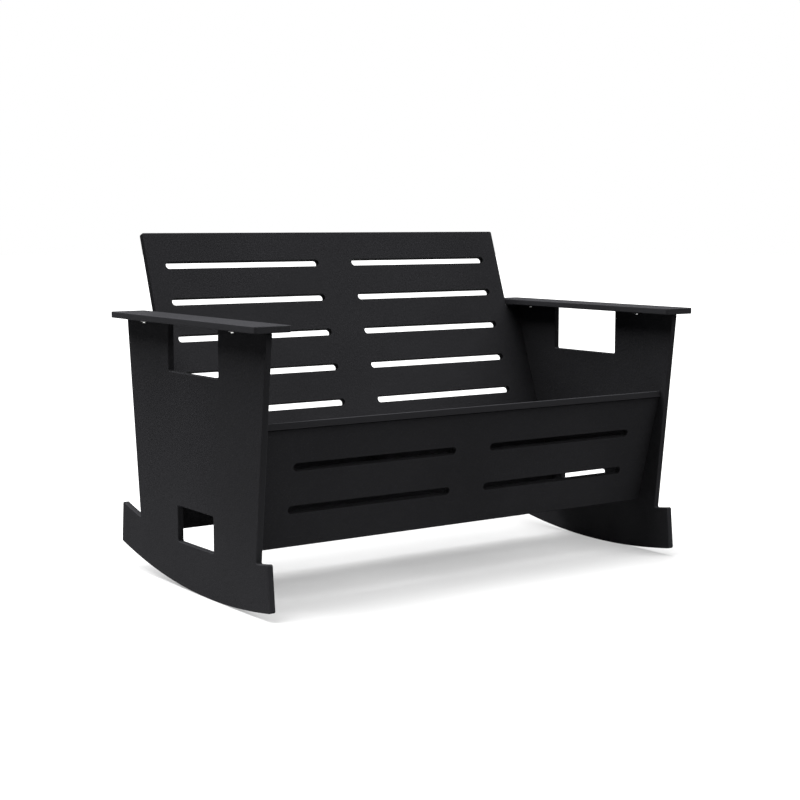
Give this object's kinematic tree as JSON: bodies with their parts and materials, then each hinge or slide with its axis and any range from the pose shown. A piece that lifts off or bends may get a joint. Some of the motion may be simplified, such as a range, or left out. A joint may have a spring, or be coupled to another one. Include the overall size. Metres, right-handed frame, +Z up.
{
  "type": "rocking bench",
  "caption": "Two-seat rocking bench of black plastic sheets with slotted back, seat and apron, flat arms and curved rocker side panels.",
  "frame": {"origin": "on the floor, under the middle of the bench's bounding box", "axes": "+Z up, -Y to the front, +X to the right as seen by someone who faces the bench"},
  "size_m": [1.3386, 0.7756, 0.8673],
  "materials": {
    "black_sheet": "through-coloured recycled plastic sheet, fine matt texture, routed edges",
    "stainless": "plain stainless steel"
  },
  "bodies": {
    "root": {"back_panel": "black_sheet", "front_apron": "black_sheet", "left_apron_cleat": "black_sheet", "left_apron_cleat_sheet_screw_1": "stainless", "left_apron_cleat_sheet_screw_2": "stainless", "left_apron_cleat_side_screw_1": "stainless", "left_apron_cleat_side_screw_2": "stainless", "left_arm": "black_sheet", "left_back_cleat": "black_sheet", "left_back_cleat_sheet_screw_1": "stainless", "left_back_cleat_sheet_screw_2": "stainless", "left_back_cleat_side_screw_1": "stainless", "left_back_cleat_side_screw_2": "stainless", "left_front_arm_plate": "stainless", "left_front_arm_screw_inner": "stainless", "left_front_arm_screw_outer": "stainless", "left_front_panel_screw": "stainless", "left_rear_arm_plate": "stainless", "left_rear_arm_screw_inner": "stainless", "left_rear_arm_screw_outer": "stainless", "left_rear_panel_screw": "stainless", "left_seat_cleat": "black_sheet", "left_seat_cleat_sheet_screw_1": "stainless", "left_seat_cleat_sheet_screw_2": "stainless", "left_seat_cleat_side_screw_1": "stainless", "left_seat_cleat_side_screw_2": "stainless", "left_side_panel": "black_sheet", "rib_front_cleat": "black_sheet", "rib_front_cleat_sheet_screw_1": "stainless", "rib_front_cleat_side_screw_1": "stainless", "rib_rear_cleat": "black_sheet", "rib_rear_cleat_sheet_screw_1": "stainless", "rib_rear_cleat_side_screw_1": "stainless", "right_apron_cleat": "black_sheet", "right_apron_cleat_sheet_screw_1": "stainless", "right_apron_cleat_sheet_screw_2": "stainless", "right_apron_cleat_side_screw_1": "stainless", "right_apron_cleat_side_screw_2": "stainless", "right_arm": "black_sheet", "right_back_cleat": "black_sheet", "right_back_cleat_sheet_screw_1": "stainless", "right_back_cleat_sheet_screw_2": "stainless", "right_back_cleat_side_screw_1": "stainless", "right_back_cleat_side_screw_2": "stainless", "right_front_arm_plate": "stainless", "right_front_arm_screw_inner": "stainless", "right_front_arm_screw_outer": "stainless", "right_front_panel_screw": "stainless", "right_rear_arm_plate": "stainless", "right_rear_arm_screw_inner": "stainless", "right_rear_arm_screw_outer": "stainless", "right_rear_panel_screw": "stainless", "right_seat_cleat": "black_sheet", "right_seat_cleat_sheet_screw_1": "stainless", "right_seat_cleat_sheet_screw_2": "stainless", "right_seat_cleat_side_screw_1": "stainless", "right_seat_cleat_side_screw_2": "stainless", "right_side_panel": "black_sheet", "seat_center_rib": "black_sheet", "seat_panel": "black_sheet"}
  },
  "joints": []
}
